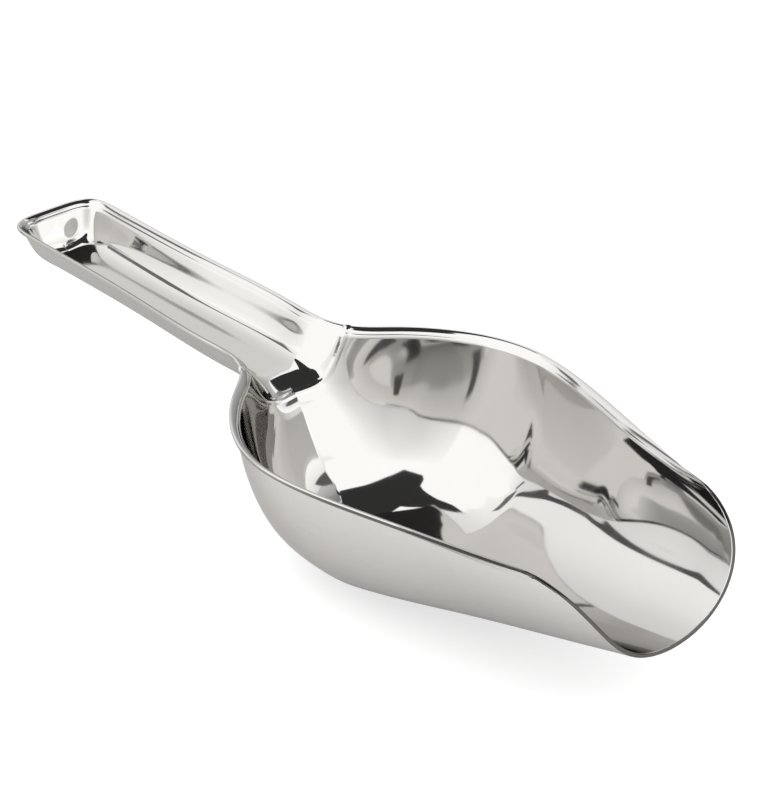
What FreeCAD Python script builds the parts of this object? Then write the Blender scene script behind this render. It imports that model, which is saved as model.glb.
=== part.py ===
"""Ice scoop of polished stainless sheet: a pressed bowl, a pressed channel handle and the weld between them.

Sizes are in millimetres. The scoop lies mouth forward along +X with +Z up. Its sizes are written
with x measured from the handle's end, and the finished solids are then moved so that the origin is
the centre of the footprint, on the surface that the bowl's flat rests on.
"""
import math
import os
from bisect import bisect_right

import FreeCAD
import Part
from FreeCAD import Vector

# ---- overall sizes
LENGTH = 215.0          # handle's end to the lip of the mouth
RIM_Z = 37.4            # the rim's height above the table
SHEET = 1.0             # thickness of the stainless sheet

# ---- plan of the rim: (x, half width) of its top edge
OUTLINE = [
    (12.8, 12.9), (50.0, 13.1), (80.0, 13.7), (91.0, 14.3),
    (97.0, 17.7), (102.0, 23.4), (109.0, 30.2), (118.0, 36.1),
    (129.0, 39.6), (142.0, 39.4), (160.0, 35.6), (190.0, 27.6), (225.0, 18.1),
]
END_LENGTH = 12.8       # length of the handle's rounded end
END_POWER = 4.2         # squareness of the rounded end
OVERRUN_X = 228.0       # the skins run on to here and are then cut to the mouth's outline

# ---- turned-out lip round the rim
LIP_RUN = 2.3           # how far the lip stands out
LIP_RISE = 1.6          # how far it climbs
LIP_BEND = 0.6          # tangent length of the bend under the lip
LIP_FADE = (165.0, 205.0)   # the lip dies away between these two x

# ---- line of the lowest points of the inner skin, from the handle's floor to the mouth
FLOOR_DEPTH = 9.3       # depth of the handle's channel
FLOOR_START = 9.0
FLOOR_END = 86.0
BEND_R = 13.0           # bend from the handle's floor down into the bowl
BEND_TURN = math.radians(62.0)
LAND_START = 124.5      # the bowl is flat underneath from here ...
LAND_END = 139.1        # ... to here, where it starts to rise to the mouth
LAND_SHEET = 0.8        # the sheet left where the flat has been ground
RISE = 0.22             # slope of the bottom towards the mouth
RISE_R = 25.0

# ---- where the foot of each rib lies: (x of the rim point, distance along the lowest line)
FOOT = [
    (12.8, 7.0), (50.0, 41.3), (86.0, 77.0), (92.0, 83.2), (97.0, 89.6), (102.0, 97.6),
    (109.0, 108.5), (118.0, 120.3), (128.0, 132.0), (142.0, 148.0), (160.0, 167.0), (228.0, 235.0),
]

# ---- cross sections: (lean of the wall, squareness of the curve at the wall, and at the floor)
CHANNEL = (0.44, 4.75, 4.75)
BACK = (0.086, 2.1, 2.8)
MOUTH = (0.101, 1.92, 2.2)

# ---- side view of the mouth's edge
MOUTH_X = 190.9         # the rim starts to drop here
MOUTH_POWER = 2.78
TIP_Z = 16.0
MOUTH_TOP = 0.25        # the cut starts this far above the rim

# ---- weld between handle and bowl
SEAM_X = 93.8
SEAM_WIDTH = 1.5
SEAM_PROUD = 0.22       # how far the weld stands out of both faces of the sheet

# ---- how finely the surfaces are laid out
END_RIBS = 16
NECK = (86.0, 132.0)
BEND_ROWS = 4
WALL_ROWS = 22


def smooth(x, a, b):
    """Go smoothly from 0 at a to 1 at b."""
    t = min(max((x - a) / (b - a), 0.0), 1.0)
    return t * t * (3.0 - 2.0 * t)


def mix(a, b, t):
    """The point a fraction t of the way from a to b."""
    return tuple(p + t * (q - p) for p, q in zip(a, b))


def spline(knots):
    """A function through the given (x, value) pairs with continuous curvature."""
    x = [k[0] for k in knots]
    curve = Part.BSplineCurve()
    curve.interpolate(Points=[Vector(k[0], k[1], 0) for k in knots], Parameters=x)
    return lambda v: curve.getD0(v).y


half_width = spline(OUTLINE)
foot_length = spline(FOOT)


def lowest_line():
    """The inner skin's lowest line as close (x, z) points, and the length up to each."""
    floor_z = RIM_Z - FLOOR_DEPTH
    points = [(FLOOR_START, floor_z), (FLOOR_END, floor_z)]
    for i in range(1, 41):
        a = BEND_TURN * i / 40.0
        points.append((FLOOR_END + BEND_R * math.sin(a), floor_z - BEND_R * (1.0 - math.cos(a))))
    # back of the bowl: a cubic curve from the bend to the flat
    x0, z0 = points[-1]
    hull = [
        (x0, z0),
        (x0 + 15.0 * math.cos(BEND_TURN), z0 - 15.0 * math.sin(BEND_TURN)),
        (LAND_START - 12.0, LAND_SHEET),
        (LAND_START, LAND_SHEET),
    ]
    for i in range(1, 201):
        t = i / 200.0
        weights = [(1 - t) ** 3, 3 * t * (1 - t) ** 2, 3 * t * t * (1 - t), t ** 3]
        points.append(tuple(sum(w * p[k] for w, p in zip(weights, hull)) for k in (0, 1)))
    # flat, then an easy bend into the straight rise to the mouth
    points.append((LAND_END, LAND_SHEET))
    for i in range(1, 41):
        a = math.atan(RISE) * i / 40.0
        points.append((LAND_END + RISE_R * math.sin(a), LAND_SHEET + RISE_R * (1.0 - math.cos(a))))
    x0, z0 = points[-1]
    points.append((x0 + 120.0, z0 + 120.0 * RISE))
    lengths = [0.0]
    for a, b in zip(points, points[1:]):
        lengths.append(lengths[-1] + math.dist(a, b))
    return points, lengths


LINE, LINE_LENGTHS = lowest_line()


def foot(distance):
    """The point (x, z) at a distance along the lowest line."""
    i = min(max(bisect_right(LINE_LENGTHS, distance) - 1, 0), len(LINE) - 2)
    t = (distance - LINE_LENGTHS[i]) / (LINE_LENGTHS[i + 1] - LINE_LENGTHS[i])
    return mix(LINE[i], LINE[i + 1], t)


def rim(p):
    """The rim in plan. p is 0..1 round the handle's end, then 1..2 along the side to the overrun."""
    if p < 1.0:
        a = p * math.pi / 2
        r = (abs(math.sin(a)) ** END_POWER + math.cos(a) ** END_POWER) ** (-1.0 / END_POWER)
        return END_LENGTH * (1.0 - r * math.cos(a)), half_width(END_LENGTH) * r * math.sin(a)
    x = END_LENGTH + (p - 1.0) * (OVERRUN_X - END_LENGTH)
    return x, half_width(x)


class Rib:
    """One line of the inner skin from the rim down to the lowest line."""

    def __init__(self, p):
        x, y = rim(p)
        before, after = rim(p - 1e-4), rim(p + 1e-4)
        tx, ty = after[0] - before[0], after[1] - before[1]
        norm = math.hypot(tx, ty)
        run = LIP_RUN * (1.0 - smooth(x, *LIP_FADE)) + 0.02
        self.edge = (x, y, RIM_Z)
        self.under = (x + run * ty / norm, y - run * tx / norm, RIM_Z - LIP_RISE)
        length = foot_length(END_LENGTH) * p if p < 1.0 else foot_length(x)
        self.foot_x, foot_z = foot(length)
        self.depth = self.under[2] - foot_z
        self.reach = math.hypot(self.under[0] - self.foot_x, self.under[1])
        self.way = ((self.under[0] - self.foot_x) / self.reach, self.under[1] / self.reach)
        neck, front = smooth(x, 92.0, 110.0), smooth(x, 145.0, 215.0)
        self.lean, self.high, self.low = (
            a + (b - a) * neck + (c - b) * front for a, b, c in zip(CHANNEL, BACK, MOUTH)
        )

    def wall(self, a):
        """A point of the wall and floor: a is 0 at the top and a quarter turn at the foot."""
        power = self.high + (self.low - self.high) * math.sin(a) ** 2
        r = (abs(math.sin(a)) ** power + abs(math.cos(a)) ** power) ** (-1.0 / power)
        down = self.depth * r * math.sin(a)
        left = (self.reach - self.lean * down) * r * math.cos(a)
        return self.foot_x + self.way[0] * left, self.way[1] * left, self.under[2] - down

    def at(self, t):
        """t is 0..1 across the lip, 1..2 round the bend, 2..3 down the wall to the foot."""
        top = mix(self.under, self.edge, LIP_BEND / math.dist(self.under, self.edge))
        start = LIP_BEND / self.depth
        if t <= 1.0:
            return mix(self.edge, top, t)
        if t <= 2.0:
            side = mix(top, self.under, t - 1.0)
            return mix(side, mix(self.under, self.wall(start), t - 1.0), t - 1.0)
        return self.wall(start + (math.pi / 2 - start) * (t - 2.0))


def outward(p, t):
    """The unit normal of the inner skin, pointing out of the scoop."""
    if p == 0.0 and t == 3.0:
        return Vector(0, 0, -1)
    e = 1e-3
    after = Vector(*Rib(p + e).at(t))
    before = Vector(*Rib(p - e).at(t)) if p > e else Vector(after.x, -after.y, after.z)
    low = t if t == 2.0 else max(t - e, 0.0)
    high = t if t == 1.0 else min(t + e, 3.0)
    rib = Rib(p)
    n = (after - before).cross(Vector(*rib.at(high)) - Vector(*rib.at(low)))
    if p == 0.0 or t == 3.0:
        n.y = 0.0
    return n.normalize()


def stations():
    """The rib positions: close together at the handle's end and at the neck."""
    steps = [(END_LENGTH, NECK[0], 10), (NECK[0], NECK[1], 32), (NECK[1], OVERRUN_X, 20)]
    xs = [a + (b - a) * i / n for a, b, n in steps for i in range(n)] + [OVERRUN_X]
    along = [1.0 + (x - END_LENGTH) / (OVERRUN_X - END_LENGTH) for x in xs]
    return [i / END_RIBS for i in range(END_RIBS)] + along


def skin(ribs, ts, offset, side):
    """Rows of points, one row per t, at an offset from the inner skin."""
    return [[Vector(v.x, side * v.y, v.z) for v in row] for row in offset_rows(tuple(ribs), tuple(ts), offset)]


KEPT_ROWS = {}


def offset_rows(ribs, ts, offset):
    """The points of skin() on the +Y side, kept so that each one is worked out once."""
    key = (ts, offset)
    if key not in KEPT_ROWS:
        rows = [[Vector(*Rib(p).at(t)) + outward(p, t) * offset for p in ribs] for t in ts]
        for row, t in zip(rows, ts):
            if t == 3.0:
                row[:] = [Vector(v.x, 0, v.z) for v in row]
            if ribs[0] == 0.0:
                row[0].y = 0.0
        KEPT_ROWS[key] = rows
    return KEPT_ROWS[key]


def through(points, parameters):
    """The poles of the curve through the points at the given parameters."""
    curve = Part.BSplineCurve()
    curve.interpolate(Points=points, Parameters=parameters)
    return curve.getPoles(), curve.getKnots(), curve.getMultiplicities()


def surface(rows, along, across):
    """A smooth surface through rows of points. Two rows make a ruled strip."""
    fitted = [through(row, along) for row in rows]
    poles = [f[0] for f in fitted]
    u_knots, u_mults = fitted[0][1], fitted[0][2]
    if len(rows) == 2:
        v_knots, v_mults, v_degree = [0.0, 1.0], [2, 2], 1
    else:
        columns = [through([row[k] for row in poles], across) for k in range(len(poles[0]))]
        poles = [[c[0][i] for c in columns] for i in range(len(columns[0][0]))]
        v_knots, v_mults, v_degree = columns[0][1], columns[0][2], 3
    made = Part.BSplineSurface()
    made.buildFromPolesMultsKnots(poles, v_mults, u_mults, v_knots, u_knots, False, False, v_degree, 3)
    return made


def end_strip(a, b):
    """The strip that joins the last curves of two surfaces."""
    poles = [s.getPoles() for s in (a, b)]
    made = Part.BSplineSurface()
    made.buildFromPolesMultsKnots(
        [[row[-1] for row in p] for p in poles], [2, 2], a.getUMultiplicities(),
        [0.0, 1.0], a.getUKnots(), False, False, 1, a.UDegree,
    )
    return made


def sheet_solid(inner, outer):
    """The whole scoop as one sheet between two offsets of the inner skin, before the mouth is cut."""
    ribs = stations()
    rim_points = [rim(p) for p in ribs]
    along = [0.0]
    for a, b in zip(rim_points, rim_points[1:]):
        along.append(along[-1] + math.dist(a, b))
    strips = [
        [0.0, 1.0],
        [1.0 + i / BEND_ROWS for i in range(BEND_ROWS + 1)],
        [2.0 + i / WALL_ROWS for i in range(WALL_ROWS + 1)],
    ]
    faces = []
    for side in (1, -1):
        for ts in strips:
            across = [(t - ts[0]) / (ts[-1] - ts[0]) for t in ts]
            pair = [surface(skin(ribs, ts, o, side), along, across) for o in (inner, outer)]
            faces += [s.toShape() for s in pair]
            faces.append(end_strip(*pair).toShape())
        edges = [skin(ribs, [0.0], o, side)[0] for o in (inner, outer)]
        faces.append(surface(edges, along, [0.0, 1.0]).toShape())
    shell = Part.Compound(faces)
    shell.sewShape(1e-4)
    solid = Part.Solid(shell.Shells[0])
    if solid.Volume < 0:
        solid.reverse()
    return solid


def slab(x0, x1):
    """A block that holds everything between two values of x."""
    return Part.makeBox(x1 - x0, 120.0, 80.0, Vector(x0, -60.0, -20.0))


def mouth_cutter():
    """What is cut away in front of the mouth's edge, as seen from the side."""
    top = RIM_Z + MOUTH_TOP
    curve_points = []
    for i in range(13):
        a = math.pi / 2 * i / 12
        r = (math.sin(a) ** MOUTH_POWER + math.cos(a) ** MOUTH_POWER) ** (-1.0 / MOUTH_POWER)
        x = MOUTH_X + (LENGTH - MOUTH_X) * r * math.sin(a)
        curve_points.append(Vector(x, -60.0, TIP_Z + (top - TIP_Z) * r * math.cos(a)))
    curve = Part.BSplineCurve()
    curve.interpolate(Points=curve_points, InitialTangent=Vector(1, 0, 0), FinalTangent=Vector(0, 0, -1))
    corners = [
        curve_points[-1], Vector(LENGTH, -60, -20), Vector(260, -60, -20),
        Vector(260, -60, 60), Vector(MOUTH_X, -60, 60), curve_points[0],
    ]
    edges = [curve.toShape()] + [Part.makeLine(a, b) for a, b in zip(corners, corners[1:])]
    return Part.Face(Part.Wire(edges)).extrude(Vector(0, 120, 0))


def one_solid(shape):
    """The single solid of a boolean's result."""
    assert len(shape.Solids) == 1, "expected one solid, got %d" % len(shape.Solids)
    return shape.Solids[0]


def main():
    sheet = sheet_solid(0.0, SHEET)
    handle = one_solid(sheet.common(slab(-20.0, SEAM_X)))
    bowl = sheet.common(slab(SEAM_X + SEAM_WIDTH, OVERRUN_X + 5.0))
    # cut the mouth, and grind the flat that the bowl rests on
    bowl = bowl.cut(mouth_cutter())
    bowl = one_solid(bowl.cut(Part.makeBox(300.0, 120.0, 20.0, Vector(-20, -60, -20))))
    weld = one_solid(
        sheet_solid(-SEAM_PROUD, SHEET + SEAM_PROUD).common(slab(SEAM_X, SEAM_X + SEAM_WIDTH))
    )
    os.makedirs("parts", exist_ok=True)
    footprint = Part.Compound([handle, bowl, weld]).optimalBoundingBox(False, False)
    for name, shape in (("bowl", bowl), ("handle", handle), ("weld_seam", weld)):
        shape.translate(Vector(-footprint.Center.x, 0, 0))
        assert shape.isValid(), name
        box = shape.optimalBoundingBox(False, False)
        centre = shape.CenterOfMass
        print("%-10s volume %.0f  x %.2f..%.2f  y %.2f..%.2f  z %.2f..%.2f  centre %.1f %.1f %.1f" % (
            name, shape.Volume, box.XMin, box.XMax, box.YMin, box.YMax, box.ZMin, box.ZMax,
            centre.x, centre.y, centre.z))
        shape.exportStep("parts/%s.step" % name)
    print("moved by %.3f" % -footprint.Center.x)


main()
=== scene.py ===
"""Ice scoop of polished stainless sheet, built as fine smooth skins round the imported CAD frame.

The shape is the CAD part's own: the same named sizes in millimetres, with x measured from the
handle's end. Every skin point is worked out from two numbers, p along the scoop and t down its side.
"""
import math

import bmesh
import bpy
import numpy as np
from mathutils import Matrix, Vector


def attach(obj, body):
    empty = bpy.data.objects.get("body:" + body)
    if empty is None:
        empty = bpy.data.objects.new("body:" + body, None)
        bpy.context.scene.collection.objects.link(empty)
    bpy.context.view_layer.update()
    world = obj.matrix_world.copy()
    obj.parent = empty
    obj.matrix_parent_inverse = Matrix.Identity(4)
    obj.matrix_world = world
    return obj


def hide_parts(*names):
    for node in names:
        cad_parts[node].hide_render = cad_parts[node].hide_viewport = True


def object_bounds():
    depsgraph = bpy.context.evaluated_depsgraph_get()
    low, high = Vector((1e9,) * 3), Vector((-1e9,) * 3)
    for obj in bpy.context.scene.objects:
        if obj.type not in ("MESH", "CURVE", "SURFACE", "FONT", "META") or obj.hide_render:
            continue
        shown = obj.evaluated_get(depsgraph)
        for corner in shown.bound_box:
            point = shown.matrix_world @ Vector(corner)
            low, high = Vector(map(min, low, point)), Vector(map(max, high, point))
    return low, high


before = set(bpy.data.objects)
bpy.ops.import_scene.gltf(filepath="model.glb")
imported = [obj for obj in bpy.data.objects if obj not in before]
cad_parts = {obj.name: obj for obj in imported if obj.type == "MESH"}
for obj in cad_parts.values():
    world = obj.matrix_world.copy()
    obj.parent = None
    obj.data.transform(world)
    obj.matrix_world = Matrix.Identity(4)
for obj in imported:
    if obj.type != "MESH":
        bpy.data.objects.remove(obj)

CAD_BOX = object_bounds()

# ---- overall sizes in millimetres, as in the CAD
MM = 0.001
LENGTH = 215.0
RIM_Z = 37.4
SHEET = 1.0

# ---- the rim in plan: (x, half width), after the handle's rounded end
OUTLINE = [
    (12.8, 12.9), (50.0, 13.1), (80.0, 13.7), (91.0, 14.3),
    (97.0, 17.7), (102.0, 23.4), (109.0, 30.2), (118.0, 36.1),
    (129.0, 39.6), (142.0, 39.4), (160.0, 35.6), (190.0, 27.6), (225.0, 18.1),
]
END_LENGTH = 12.8
END_POWER = 4.2
OVERRUN_X = 228.0       # the side goes on past the mouth, to be cut there

# ---- the lip turned out along the rim
LIP_RUN = 2.3
LIP_LEAST = 0.02        # what is left of its run at the mouth
LIP_RISE = 1.6
LIP_BEND = 0.6
LIP_FADE = (165.0, 205.0)
LIP_ARCH = 0.22         # how far its top is rounded up
ARCH_WAY = (0.57, 0.82)  # ... in this direction, inward and up

# ---- line of the lowest points, from the handle's floor to the mouth
FLOOR_DEPTH = 9.3
FLOOR_START = 9.0
FLOOR_END = 86.0
BEND_R = 13.0
BEND_TURN = math.radians(62.0)
LAND_START = 124.5
LAND_END = 139.1
LAND_SHEET = 0.8
RISE = 0.22
RISE_R = 25.0

# ---- where the foot of each rib lies: (x of the rim point, distance along the lowest line)
FOOT = [
    (12.8, 7.0), (50.0, 41.3), (86.0, 77.0), (92.0, 83.2), (97.0, 89.6), (102.0, 97.6),
    (109.0, 108.5), (118.0, 120.3), (128.0, 132.0), (142.0, 148.0), (160.0, 167.0), (228.0, 235.0),
]

# ---- cross sections: (lean of the wall, squareness of the curve at the wall, and at the floor)
CHANNEL = (0.44, 4.75, 4.75)
BACK = (0.086, 2.1, 2.8)
MOUTH = (0.101, 1.92, 2.2)
NECK = (92.0, 110.0)    # where the channel changes to the back of the bowl
FRONT = (145.0, 215.0)  # ... and the back to the mouth

# ---- side view of the mouth's edge
MOUTH_X = 190.9
MOUTH_POWER = 2.78
TIP_Z = 16.0
MOUTH_TOP = 0.25

# ---- the weld, and the rounded edge of the sheet
SEAM_X = 93.8
SEAM_WIDTH = 1.5
SEAM_PROUD = 0.22
EDGE_ROUND = 0.35       # how far the edge bulges

# the handle's end lies this far from the frame's origin
HANDLE_END_X = CAD_BOX[1].x / MM - LENGTH


# ---------------------------------------------------------------- the shape

def smooth(x, a, b):
    t = np.clip((x - a) / (b - a), 0.0, 1.0)
    return t * t * (3.0 - 2.0 * t)


def spline(knots):
    """A function through the (x, value) pairs, with continuous curvature."""
    x, y = np.array(knots, float).T
    h, n = np.diff(x), len(x)
    a, b = np.eye(n), np.zeros(n)
    for i in range(1, n - 1):
        a[i, i - 1:i + 2] = h[i - 1], 2 * (h[i - 1] + h[i]), h[i]
        b[i] = 6 * ((y[i + 1] - y[i]) / h[i] - (y[i] - y[i - 1]) / h[i - 1])
    m = np.linalg.solve(a, b)

    def value(v):
        i = np.clip(np.searchsorted(x, v, side="right") - 1, 0, n - 2)
        s, g = v - x[i], h[i]
        slope = (y[i + 1] - y[i]) / g - g * (2 * m[i] + m[i + 1]) / 6
        return y[i] + s * (slope + s * (m[i] / 2 + s * (m[i + 1] - m[i]) / (6 * g)))
    return value


half_width = spline(OUTLINE)
foot_length = spline(FOOT)


def lowest_line():
    """The inner skin's lowest line, (x, z), and the length up to each point."""
    floor_z = RIM_Z - FLOOR_DEPTH
    turn = np.linspace(0, BEND_TURN, 41)
    bend = np.c_[FLOOR_END + BEND_R * np.sin(turn), floor_z - BEND_R * (1 - np.cos(turn))]
    x0, z0 = bend[-1]
    hull = np.array([
        (x0, z0),
        (x0 + 15.0 * math.cos(BEND_TURN), z0 - 15.0 * math.sin(BEND_TURN)),
        (LAND_START - 12.0, LAND_SHEET),
        (LAND_START, LAND_SHEET),
    ])
    t = np.linspace(0, 1, 201)[1:, None]
    weights = np.hstack([(1 - t) ** 3, 3 * t * (1 - t) ** 2, 3 * t * t * (1 - t), t ** 3])
    turn = np.linspace(0, math.atan(RISE), 41)
    rise = np.c_[LAND_END + RISE_R * np.sin(turn), LAND_SHEET + RISE_R * (1 - np.cos(turn))]
    end = rise[-1] + np.array([120.0, 120.0 * RISE])
    points = np.vstack([[(FLOOR_START, floor_z)], bend, weights @ hull, rise, [end]])
    steps = np.linalg.norm(np.diff(points, axis=0), axis=1)
    return points, np.r_[0, np.cumsum(steps)]


LINE, LINE_LENGTHS = lowest_line()


def rim(p):
    """The rim in plan: p is 0..1 round the handle's end, then 1..2 along the side."""
    a = np.clip(p, -1, 1) * math.pi / 2
    r = (np.abs(np.sin(a)) ** END_POWER + np.abs(np.cos(a)) ** END_POWER) ** (-1 / END_POWER)
    x = END_LENGTH + (p - 1) * (OVERRUN_X - END_LENGTH)
    end_y = half_width(np.float64(END_LENGTH))
    return (np.where(p < 1, END_LENGTH * (1 - r * np.cos(a)), x),
            np.where(p < 1, end_y * r * np.sin(a), half_width(np.maximum(x, END_LENGTH))))


def along(x):
    """The p of a rim point at x, past the handle's rounded end."""
    return 1 + (x - END_LENGTH) / (OVERRUN_X - END_LENGTH)


def inner(p, t):
    """Points of the inner skin: t is 0..1 across the lip, 1..2 round its bend, 2..3 down to the foot."""
    p, t = np.broadcast_arrays(np.asarray(p, float), np.asarray(t, float))
    x, y = rim(p)
    (xa, ya), (xb, yb) = rim(p - 1e-4), rim(p + 1e-4)
    tx, ty = xb - xa, yb - ya
    norm = np.hypot(tx, ty)
    run = LIP_RUN * (1 - smooth(x, *LIP_FADE)) + LIP_LEAST
    edge = np.stack([x, y, np.full_like(x, RIM_Z)], -1)
    under = np.stack([x + run * ty / norm, y - run * tx / norm, np.full_like(x, RIM_Z - LIP_RISE)], -1)
    length = np.where(p < 1, foot_length(np.float64(END_LENGTH)) * p, foot_length(x))
    foot_x = np.interp(length, LINE_LENGTHS, LINE[:, 0])
    foot_z = np.interp(length, LINE_LENGTHS, LINE[:, 1])
    depth = under[..., 2] - foot_z
    reach = np.hypot(under[..., 0] - foot_x, under[..., 1])
    way = (under[..., 0] - foot_x) / reach, under[..., 1] / reach
    neck, front = smooth(x, *NECK), smooth(x, *FRONT)
    lean, high, low = (a + (b - a) * neck + (c - b) * front for a, b, c in zip(CHANNEL, BACK, MOUTH))

    def wall(a):
        s, c = np.abs(np.sin(a)), np.abs(np.cos(a))
        power = high + (low - high) * s * s
        r = (s ** power + c ** power) ** (-1 / power)
        down = depth * r * s
        left = (reach - lean * down) * r * c
        return np.stack([foot_x + way[0] * left, way[1] * left, under[..., 2] - down], -1)

    top = under + (edge - under) * (LIP_BEND / np.linalg.norm(edge - under, axis=-1))[..., None]
    start = LIP_BEND / depth
    u = np.clip(t - 1, 0, 1)[..., None]
    across = np.clip(t, 0, 1)
    inward = np.stack([ty / norm, -tx / norm, np.zeros_like(x)], -1)
    arch = 4 * across * (1 - across) * LIP_ARCH * run / LIP_RUN
    arch_way = inward * ARCH_WAY[0] + np.array([0, 0, ARCH_WAY[1]])
    lip = edge + (top - edge) * across[..., None] + arch_way * arch[..., None]
    first = wall(start)
    bend = top * (1 - u) ** 2 + 2 * under * u * (1 - u) + first * u * u
    side = wall(start + (math.pi / 2 - start) * np.clip(t - 2, 0, 1))
    t = t[..., None]
    return np.where(t <= 1, lip, np.where(t <= 2, bend, side))


def normal(p, t):
    """The inner skin's unit normal, pointing out of the scoop."""
    e = 1e-3
    p, t = np.broadcast_arrays(np.asarray(p, float), np.asarray(t, float))
    flip = np.where(p < e, -1.0, 1.0)[..., None] * np.array([0, 1, 0]) + np.array([1, 0, 1])
    ahead = inner(p + e, t)
    behind = np.where((p < e)[..., None], ahead * flip, inner(np.maximum(p - e, 0), t))
    low = np.where(t == 2, t, np.maximum(t - e, 0))
    high = np.where(t == 1, t, np.minimum(t + e, 3))
    n = np.cross(ahead - behind, inner(p, high) - inner(p, low))
    n[..., 1] = np.where((p < e) | (t > 3 - e), 0, n[..., 1])
    size = np.linalg.norm(n, axis=-1, keepdims=True)
    return np.where(size > 1e-12, n / np.maximum(size, 1e-12), np.array([0, 0, -1.0]))


def mouth_end(t):
    """The p at which the row t reaches the mouth's edge."""
    low, high = np.full_like(t, along(MOUTH_X)), np.full_like(t, 2.0)
    for _ in range(40):
        p = (low + high) / 2
        x, _, z = np.moveaxis(inner(p, t), -1, 0)
        out = np.clip((x - MOUTH_X) / (LENGTH - MOUTH_X), 0, None) ** MOUTH_POWER
        up = np.clip((z - TIP_Z) / (RIM_Z + MOUTH_TOP - TIP_Z), 0, None) ** MOUTH_POWER
        past = (out + up > 1) | (x > LENGTH)
        low, high = np.where(past, low, p), np.where(past, p, high)
    return low


# ---------------------------------------------------------------- meshes

LIP_ROWS = 9
BEND_ROWS = 8
WALL_ROWS = 72
EDGE_STEPS = 6
SECOND_ROW = 0.4        # the lip's second row stands clear of the rounded edge
# the satin value: 0 on the polished inside, 1 on the satin outside, between them round an edge
INSIDE, OUTSIDE = (0.0, 0.0), (1.0, 1.0)
LIP_EDGE, MOUTH_EDGE = (0.1, 0.9), (0.35, 0.9)
HALF_ROWS = np.r_[
    [0.0],
    np.linspace(SECOND_ROW, 1, LIP_ROWS - 1, endpoint=False),
    np.linspace(1, 2, BEND_ROWS, endpoint=False),
    np.linspace(2, 3, WALL_ROWS),
]


def unit(v):
    return v / np.maximum(np.linalg.norm(v, axis=-1, keepdims=True), 1e-12)


def mirrored(half):
    """The rows of one side carried over the foot to the other side."""
    return np.concatenate([half, half[:, -2::-1] * np.array([1, -1, 1])], axis=1)


def rounded_edge(a, b, out):
    """Points and normals of a rounded edge from a on the inner skin to b on the outer skin."""
    turns = np.linspace(0, math.pi, EDGE_STEPS + 1)[1:-1]
    middle, half = (a + b) / 2, (a - b) / 2
    points = [middle + half * math.cos(w) + out * EDGE_ROUND * math.sin(w) for w in turns]
    facing = [unit(unit(half) * math.cos(w) * EDGE_ROUND + out * math.sin(w) * SHEET / 2) for w in turns]
    return points, facing


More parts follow.
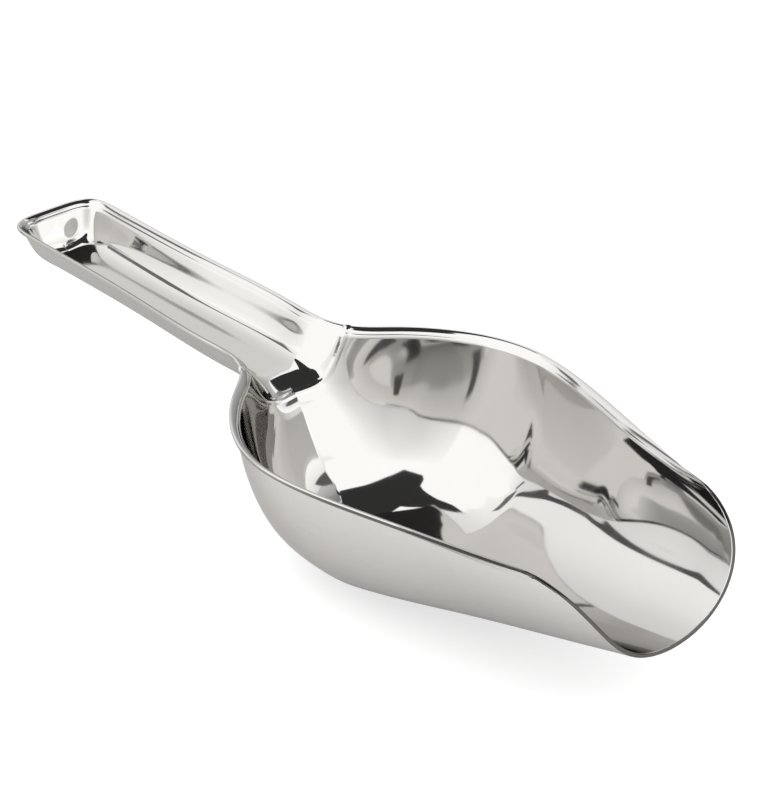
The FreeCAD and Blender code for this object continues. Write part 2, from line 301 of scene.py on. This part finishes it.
def sheet_piece(name, columns, open_end=False, proud=0.0):
    """One closed piece of sheet. columns holds p for each column and row of one side.

    proud is how far the middle of the piece swells out of both faces of the sheet, as a weld does.
    """
    t = np.broadcast_to(HALF_ROWS, columns.shape)
    skin, out = mirrored(inner(columns, t)), mirrored(normal(columns, t))
    across = np.linspace(0, math.pi, len(skin))[:, None, None]
    swell = proud * np.sin(across)
    a, b = skin - out * swell, skin + out * (SHEET + swell)
    width = np.linalg.norm(skin[-1] - skin[0], axis=-1, keepdims=True)
    lean = unit(np.gradient(skin, axis=0)) * (proud * math.pi / width * np.cos(across))
    # the underside is ground flat where the scoop stands
    b[..., 2] = np.maximum(b[..., 2], 0)
    n_cols, n_rows = skin.shape[:2]
    lip_out = unit(skin[:, [0, -1]] - skin[:, [1, -2]])
    mouth_out = None
    if open_end:
        tangent = np.gradient(skin[-1], axis=0)
        mouth_out = unit(np.cross(tangent, out[-1]))
        mouth_out *= np.sign(np.sum(mouth_out * (skin[-1] - skin[-3]), -1, keepdims=True))
        for k, j in ((0, 0), (1, -1)):
            corner = unit(mouth_out[j] + lip_out[-1, k])
            mouth_out[j] = lip_out[-1, k] = corner
        for grid in (a, b):
            grid[-1] -= mouth_out * EDGE_ROUND
    for k, j in ((0, 0), (1, -1)):
        rows = slice(0, n_cols - 1 if open_end else n_cols)
        for grid in (a, b):
            grid[rows, j] -= lip_out[rows, k] * EDGE_ROUND

    points, facing, polish, faces = [], [], [], []

    def add(block, directions, ends):
        """ends: the satin values of the block's first and last rows."""
        first = len(points)
        points.extend(block.reshape(-1, 3))
        facing.extend(directions.reshape(-1, 3))
        polish.extend(np.repeat(np.linspace(*ends, len(block)), len(block[0])))
        return np.arange(first, len(points)).reshape(block.shape[:-1])

    inside = add(a, unit(-out - lean), INSIDE)
    outside = add(b, unit(out - lean), OUTSIDE)
    edges = []
    for k, j in ((0, 0), (1, -1)):
        block, directions = rounded_edge(a[:, j], b[:, j], lip_out[:, k])
        edges.append(add(np.array(block), np.array(directions), LIP_EDGE))

    closed_tip = columns[0, 0] == 0.0
    same = {}
    if closed_tip:
        # both sides meet on the centre line at the handle's end, so they share those points
        for grid in (inside, outside):
            same.update(zip(grid[0, n_rows // 2 + 1:], grid[0, n_rows // 2 - 1::-1]))
        same.update(zip(edges[1][:, 0], edges[0][:, 0]))

    def quads(grid):
        for i in range(grid.shape[0] - 1):
            for j in range(grid.shape[1] - 1):
                face = [grid[i, j], grid[i + 1, j], grid[i + 1, j + 1], grid[i, j + 1]]
                face = [same.get(v, v) for v in face]
                face = [v for k, v in enumerate(face) if v != face[k - 1]]
                if len(face) > 2:
                    faces.append(face)

    quads(inside)
    quads(outside)
    for k, j in ((0, 0), (1, -1)):
        quads(np.vstack([inside[:, j], edges[k], outside[:, j]]))
    if open_end:
        block, directions = rounded_edge(a[-1, 1:-1], b[-1, 1:-1], mouth_out[1:-1])
        ring = add(np.array(block), np.array(directions), MOUTH_EDGE)
        ring = np.hstack([edges[0][:, -1:], ring, edges[1][:, -1:]])
        quads(np.vstack([inside[-1], ring, outside[-1]]))
    ends = [0] if open_end else ([-1] if closed_tip else [0, -1])
    for end in ends:
        # a flat end against the next piece
        quads(np.vstack([inside[end], outside[end]]))
        for k, j in ((0, 0), (1, -1)):
            faces.append([inside[end, j], *edges[k][:, end], outside[end, j]])

    used = sorted({v for f in faces for v in f})
    renumber = {v: i for i, v in enumerate(used)}
    place = np.array(points)[used] + np.array([HANDLE_END_X, 0, 0])
    mesh = bpy.data.meshes.new(name)
    mesh.from_pydata((place * MM).tolist(), [], [[renumber[v] for v in f] for f in faces])
    turned = bmesh.new()
    turned.from_mesh(mesh)
    bmesh.ops.recalc_face_normals(turned, faces=turned.faces)
    if turned.calc_volume(signed=True) < 0:
        bmesh.ops.reverse_faces(turned, faces=turned.faces)
    turned.to_mesh(mesh)
    turned.free()
    mesh.polygons.foreach_set("use_smooth", [True] * len(mesh.polygons))
    satin = mesh.attributes.new("satin", "FLOAT", "POINT")
    satin.data.foreach_set("value", np.array(polish)[used])
    mesh.normals_split_custom_set_from_vertices(np.array(facing)[used].tolist())
    mesh.update()
    piece = bpy.data.objects.new(name, mesh)
    bpy.context.scene.collection.objects.link(piece)
    return piece


def columns_between(*stretches):
    """Columns of constant p: each stretch is (first p, last p, count)."""
    parts = [np.linspace(a, b, n, endpoint=False) for a, b, n in stretches]
    ps = np.concatenate(parts + [[stretches[-1][1]]])
    return np.repeat(ps[:, None], len(HALF_ROWS), axis=1)


def handle():
    columns = columns_between(
        (0.0, 1.0, 64),
        (1.0, along(FLOOR_END), 60),
        (along(FLOOR_END), along(SEAM_X), 24),
    )
    return sheet_piece("handle_sheet", columns)


def weld():
    columns = columns_between((along(SEAM_X), along(SEAM_X + SEAM_WIDTH), 12))
    return sheet_piece("weld_bead", columns, proud=SEAM_PROUD)


def bowl():
    widest, straight = along(132.0), along(LIP_FADE[0])
    back = columns_between(
        (along(SEAM_X + SEAM_WIDTH), widest, 120),
        (widest, straight, 34),
    )
    # past here the columns fan out, so that the last one is the mouth's edge
    share = np.linspace(0, 1, 61)[1:, None]
    front = straight + share * (mouth_end(HALF_ROWS)[None, :] - straight)
    return sheet_piece("bowl_sheet", np.vstack([back, front]), open_end=True)


# ---------------------------------------------------------------- materials

class Nodes:
    """A short way to write a material's nodes."""

    def __init__(self, name):
        self.material = bpy.data.materials.new(name)
        self.material.use_nodes = True
        self.tree = self.material.node_tree
        self.shader = self.tree.nodes["Principled BSDF"]

    def add(self, kind, inputs=None, **settings):
        node = self.tree.nodes.new(kind)
        for key, value in settings.items():
            setattr(node, key, value)
        for key, value in (inputs or {}).items():
            self.put(node.inputs[key], value)
        return node

    def put(self, socket, value):
        if isinstance(value, bpy.types.NodeSocket):
            self.tree.links.new(value, socket)
        else:
            socket.default_value = value

    def place(self, scale=(1, 1, 1)):
        coordinates = self.add("ShaderNodeTexCoord").outputs["Object"]
        return self.add("ShaderNodeMapping", {"Vector": coordinates, "Scale": scale}).outputs["Vector"]

    def noise(self, scale, detail=2.0, stretch=(1, 1, 1), rough=0.5):
        node = self.add("ShaderNodeTexNoise", {
            "Vector": self.place(stretch), "Scale": scale, "Detail": detail, "Roughness": rough})
        return node.outputs["Fac"]

    def range(self, value, a, b, to_a, to_b):
        node = self.add("ShaderNodeMapRange", {
            "Value": value, "From Min": a, "From Max": b, "To Min": to_a, "To Max": to_b})
        return node.outputs["Result"]

    def height(self, low, high, axis="Z"):
        """0 to 1 between two heights in metres, or between two places along another axis."""
        parts = self.add("ShaderNodeSeparateXYZ", {"Vector": self.place()})
        return self.range(parts.outputs[axis], low, high, 0.0, 1.0)

    def mix(self, share, a, b):
        node = self.add("ShaderNodeMix", data_type="FLOAT")
        self.put(node.inputs[0], share)
        self.put(node.inputs[2], a)
        self.put(node.inputs[3], b)
        return node.outputs[0]

    def tint(self, share, a, b):
        node = self.add("ShaderNodeMix", data_type="RGBA")
        self.put(node.inputs[0], share)
        self.put(node.inputs[6], a)
        self.put(node.inputs[7], b)
        return node.outputs[2]

    def bump(self, height, strength, distance, under=None):
        inputs = {"Height": height, "Strength": strength, "Distance": distance}
        if under is not None:
            inputs["Normal"] = under
        return self.add("ShaderNodeBump", inputs).outputs["Normal"]


# each steel's two shades, between which its grain varies
POLISHED = (0.59, 0.58, 0.566, 1), (0.63, 0.62, 0.604, 1)
BRUSHED = (0.48, 0.469, 0.456, 1), (0.525, 0.513, 0.498, 1)
WELD_METAL = (0.57, 0.56, 0.546, 1), (0.64, 0.63, 0.614, 1)
# painted shade on the satin outside: darker tones standing in for the dimmer reflections underneath, near
# the ground, along the handle and round the rim
UNDERSIDE_SHADE = (0.17, 0.163, 0.157, 1)
GROUND_SHADE = (0.22, 0.212, 0.205, 1)
HANDLE_SHADE = (0.42, 0.41, 0.399, 1)
RIM_BACK_SHADE = (0.36, 0.35, 0.338, 1)
RIM_FRONT_SHADE = (0.1, 0.095, 0.09, 1)
# steel reflects less at grazing angles than a perfect mirror would, and satin steel less still
GRAZING = (0.6, 0.59, 0.58, 1), (0.58, 0.57, 0.56, 1)


def sheet_steel():
    """Stainless sheet: mirror polished where satin is 0, fine satin grain where it is 1."""
    m = Nodes("stainless_sheet")
    satin = m.add("ShaderNodeAttribute", attribute_name="satin").outputs["Fac"]
    haze = m.noise(60.0, 3.0)
    grain = m.noise(900.0, 4.0, stretch=(0.12, 1.0, 1.0), rough=0.7)
    wave = m.noise(26.0, 2.0)
    inside = m.range(haze, 0.3, 0.7, 0.035, 0.075)
    outside = m.range(grain, 0.3, 0.7, 0.27, 0.33)
    m.put(m.shader.inputs["Roughness"], m.mix(satin, inside, outside))
    m.put(m.shader.inputs["Metallic"], 1.0)
    m.put(m.shader.inputs["Specular Tint"], m.tint(satin, *GRAZING))
    # painted shade: the outside is darker where it faces down, near the ground, and along the handle,
    # standing in for the dimmer light it reflects there
    facing = m.add("ShaderNodeSeparateXYZ", {0: m.add("ShaderNodeNewGeometry").outputs["Normal"]})
    underside_shade = m.tint(m.range(facing.outputs["Z"], -0.87, -0.66, 0, 1), UNDERSIDE_SHADE, m.tint(grain, *BRUSHED))
    ground_shade = m.tint(m.height(0.002, 0.009), GROUND_SHADE, underside_shade)
    handle_shade = m.tint(m.height(-0.016, 0.004, axis="X"), HANDLE_SHADE, ground_shade)
    faces = m.tint(satin, m.tint(haze, *POLISHED), handle_shade)
    # painted shade: the outer half of the rounded edge is darker still, most of all round the mouth,
    # standing in for the dark reflections along the edge
    edge = m.add("ShaderNodeMath", {0: satin, 1: 0.65, 2: 0.28}, operation="COMPARE").outputs[0]
    rim = m.tint(m.height(0.01, 0.045, axis="X"), RIM_BACK_SHADE, RIM_FRONT_SHADE)
    m.put(m.shader.inputs["Base Color"], m.tint(edge, faces, rim))
    waved = m.bump(wave, 0.25, 0.0002)
    m.put(m.shader.inputs["Normal"], m.bump(grain, m.range(satin, 0, 1, 0.0, 0.05), 0.00002, waved))
    return m.material


def weld_steel():
    """Ground and buffed weld metal, uneven on the scale of its ripples."""
    m = Nodes("weld_steel")
    ripple = m.noise(700.0, 3.0)
    m.put(m.shader.inputs["Metallic"], 1.0)
    m.put(m.shader.inputs["Base Color"], m.tint(ripple, *WELD_METAL))
    m.put(m.shader.inputs["Roughness"], m.range(ripple, 0.3, 0.7, 0.07, 0.14))
    m.put(m.shader.inputs["Normal"], m.bump(ripple, 0.3, 0.00005))
    return m.material


# ---------------------------------------------------------------- the studio

AZIMUTH = math.radians(49.2)
ELEVATION = math.radians(29.96)
DISTANCE = 0.6957
FOCAL = 140.9
AIM = Vector(((122.0 + HANDLE_END_X) * MM, 0, 25.0 * MM))


def camera():
    data = bpy.data.cameras.new("camera")
    data.sensor_width = 36.0
    data.lens = FOCAL
    data.shift_x = 0.0129
    data.shift_y = 0.0485
    data.clip_start = 0.01
    cam = bpy.data.objects.new("camera", data)
    bpy.context.scene.collection.objects.link(cam)
    back = Vector((
        math.sin(AZIMUTH) * math.cos(ELEVATION),
        -math.cos(AZIMUTH) * math.cos(ELEVATION),
        math.sin(ELEVATION),
    ))
    cam.location = AIM + back * DISTANCE
    cam.rotation_euler = back.to_track_quat("Z", "Y").to_euler()
    bpy.context.scene.camera = cam


GLOW = 1.13             # scales the brightness of every panel and of the room
ROOM = 1.4              # brightness of the white room
FLOOR_REACH = 3.0       # from the floor's middle to its sides, in metres
FLOOR_SHADE = 0.5
FLOOR_GLOW = 0.6        # keeps the scoop's shadow faint

# upright panels round the scoop: the radius in metres, then the outline's stations, each
# (bearing, low, high, brightness low, brightness high) with the angles in degrees
UPRIGHT_CARDS = {
    "seam_low": (0.58, [
        (-72, 13.5, 15.2, 0.1, 0.1), (-70.4, 13.5, 19.5, 0.1, 0.1), (-69.5, 16, 26, 0.1, 0.1),
        (-68.5, 17, 28, 0.1, 0.1), (-67.7, 16, 27, 0.1, 0.1), (-66.4, 15, 19, 0.1, 0.1)]),
    "seam_mid": (0.58, [(-62.4, 20, 27, 0.15, 0.15), (-60.9, 20, 27, 0.15, 0.15)]),
    "seam_high": (0.58, [
        (-75.9, 40.5, 48, 0.2, 0.2), (-74.9, 39.5, 46.5, 0.2, 0.2),
        (-64.3, 26, 36.5, 0.2, 0.2), (-63.3, 26, 33.5, 0.2, 0.2)]),
    "near_left": (0.62, [
        (-70, 0, 32, 0.72, 1.1), (-60, 0, 32, 0.8, 1.25), (-50, 0, 32, 1.05, 1.4), (-42, 0, 32, 1.3, 1.4)]),
    "left_end": (0.63, [(-134, 0, 22, 0.35, 0.6), (-123, 0, 22, 0.42, 0.7), (-119, 0, 22, 0.85, 0.95)]),
    "left_panel": (0.64, [
        (-150, 0, 47, 0.85, 0.95), (-118, 0, 52, 0.95, 1.0),
        (-102, 0, 54, 1.08, 1.08), (-84, 0, 54, 1.14, 1.2), (-60, 0, 47, 1.14, 1.3)]),
    "far_left": (0.63, [(-182, 0, 45, 0.33, 0.7), (-150, 0, 45, 0.33, 0.7), (-138, 0, 45, 0.6, 0.9)]),
    "front_low": (0.62, [
        (20, 0, 9, 0.6, 0.9), (36, 0, 9, 0.1, 0.7), (62, 0, 9, 0.1, 0.7), (74, 0, 7, 0.3, 0.9)]),
    "front_soft": (0.63, [
        (5, 0, 50, 1.1, 1.4), (34, 0, 50, 0.7, 1.35), (60, 0, 50, 0.7, 1.3),
        (80, 0, 50, 0.95, 1.4), (95, 0, 50, 1.4, 1.4)]),
    "back_bar": (0.60, [(142, 34, 44, 0.13, 0.13), (149.5, 34.5, 44, 0.13, 0.13)]),
    "back_spot": (0.60, [(149, 47.5, 56, 0.06, 0.06), (157, 47.5, 56, 0.06, 0.06)]),
    "back_mid": (0.62, [(138, 38, 50, 0.85, 0.6), (157, 38, 50, 0.7, 0.35)]),
    "back_high": (0.62, [(157, 37.8, 51, 0.6, 0.25), (178, 37.8, 51, 0.6, 0.25)]),
    "back_low": (0.61, [
        (134, 4, 26, 0.9, 1.3), (142, 4, 26, 0.6, 0.95),
        (150, 4, 26, 0.42, 0.75), (176, 4, 26, 0.4, 0.7)]),
    "back_panel": (0.63, [(118, 20, 38, 1.6, 1.2), (150, 20, 38, 1.6, 1.0), (169, 20, 38, 1.6, 1.0)]),
    "back_edge": (0.63, [(169, 20, 38, 0.3, 0.36), (178, 20, 38, 0.3, 0.4)]),
    "left_foot": (0.60, [(-67, 0, 10, 0.15, 0.6), (-63, 0, 10, 0.15, 0.5), (-58, 0, 9.5, 0.15, 0.3)]),
}
# the dark flag overhead: height in metres, brightness, then corners as shares of the height
OVERHEAD_CARD = (0.95, 0.045, [
    (0.46, -0.33), (0.3, -0.40), (0.13, -0.45), (0.03, -0.38), (-0.05, -0.22), (-0.17, -0.16),
    (-0.68, -0.02), (-0.74, 0.05), (-0.72, 0.16), (-0.45, 0.28), (-0.3, 0.34), (-0.38, 0.5), (-0.5, 0.85),
    (0.0, 0.85), (0.25, 0.75), (0.43, 0.6), (0.42, 0.4), (0.46, 0.05),
])


def glowing(name):
    """A panel of smoothly changing brightness, seen only in reflections."""
    m = Nodes(name)
    glow = m.add("ShaderNodeAttribute", attribute_name="glow").outputs["Fac"]
    m.put(m.shader.inputs["Base Color"], (0, 0, 0, 1))
    m.put(m.shader.inputs["Specular IOR Level"], 0.0)
    m.put(m.shader.inputs["Emission Color"], (1, 1, 1, 1))
    m.put(m.shader.inputs["Emission Strength"], glow)
    return m.material


def card(name, points, faces, glow):
    mesh = bpy.data.meshes.new(name)
    mesh.from_pydata(points, [], faces)
    mesh.attributes.new("glow", "FLOAT", "POINT").data.foreach_set("value", glow)
    mesh.materials.append(glowing(name))
    panel = bpy.data.objects.new(name, mesh)
    bpy.context.scene.collection.objects.link(panel)
    panel.visible_camera = False
    panel.visible_shadow = False
    panel.visible_diffuse = False


def upright_card(name, radius, stations):
    points, glow = [], []
    for first, last in zip(stations, stations[1:]):
        steps = max(1, round(abs(last[0] - first[0]) / 4))
        for i in range(steps + 1):
            bearing, low, high, *glows = np.array(first) + (np.array(last) - first) * i / steps
            for angle in (low, high):
                z = radius * math.tan(math.radians(angle))
                way = math.radians(bearing)
                points.append((radius * math.sin(way), -radius * math.cos(way), z))
            glow += glows
    faces = [(i, i + 1, i + 3, i + 2) for i in range(0, len(points) - 2, 2)]
    card(name, points, faces, [GLOW * g for g in glow])


def studio():
    world = bpy.data.worlds.new("studio")
    world.use_nodes = True
    world.node_tree.nodes["Background"].inputs["Color"].default_value = (1, 1, 1, 1)
    world.node_tree.nodes["Background"].inputs["Strength"].default_value = ROOM * GLOW
    bpy.context.scene.world = world
    bpy.context.scene.view_settings.view_transform = "Standard"
    mesh = bpy.data.meshes.new("floor")
    r = FLOOR_REACH
    mesh.from_pydata([(-r, -r, 0), (r, -r, 0), (r, r, 0), (-r, r, 0)], [], [(0, 1, 2, 3)])
    floor = bpy.data.objects.new("floor", mesh)
    bpy.context.scene.collection.objects.link(floor)
    m = Nodes("floor_paper")
    m.put(m.shader.inputs["Base Color"], (FLOOR_SHADE, FLOOR_SHADE, FLOOR_SHADE, 1))
    m.put(m.shader.inputs["Emission Color"], (1, 1, 1, 1))
    m.put(m.shader.inputs["Emission Strength"], FLOOR_GLOW)
    m.put(m.shader.inputs["Roughness"], 0.9)
    mesh.materials.append(m.material)
    for name, values in UPRIGHT_CARDS.items():
        upright_card(name, *values)
    height, brightness, corners = OVERHEAD_CARD
    card("overhead", [(x * height, y * height, height) for x, y in corners],
         [tuple(range(len(corners)))], [brightness] * len(corners))


# ---------------------------------------------------------------- assembly

steel, filler = sheet_steel(), weld_steel()
for piece, node, material, slot in (
    (handle(), "handle", steel, "steel_sheet"),
    (weld(), "weld_seam", filler, "weld_steel"),
    (bowl(), "bowl", steel, "steel_sheet"),
):
    piece.data.materials.append(material)
    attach(piece, "root")
    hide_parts(node)
camera()
studio()
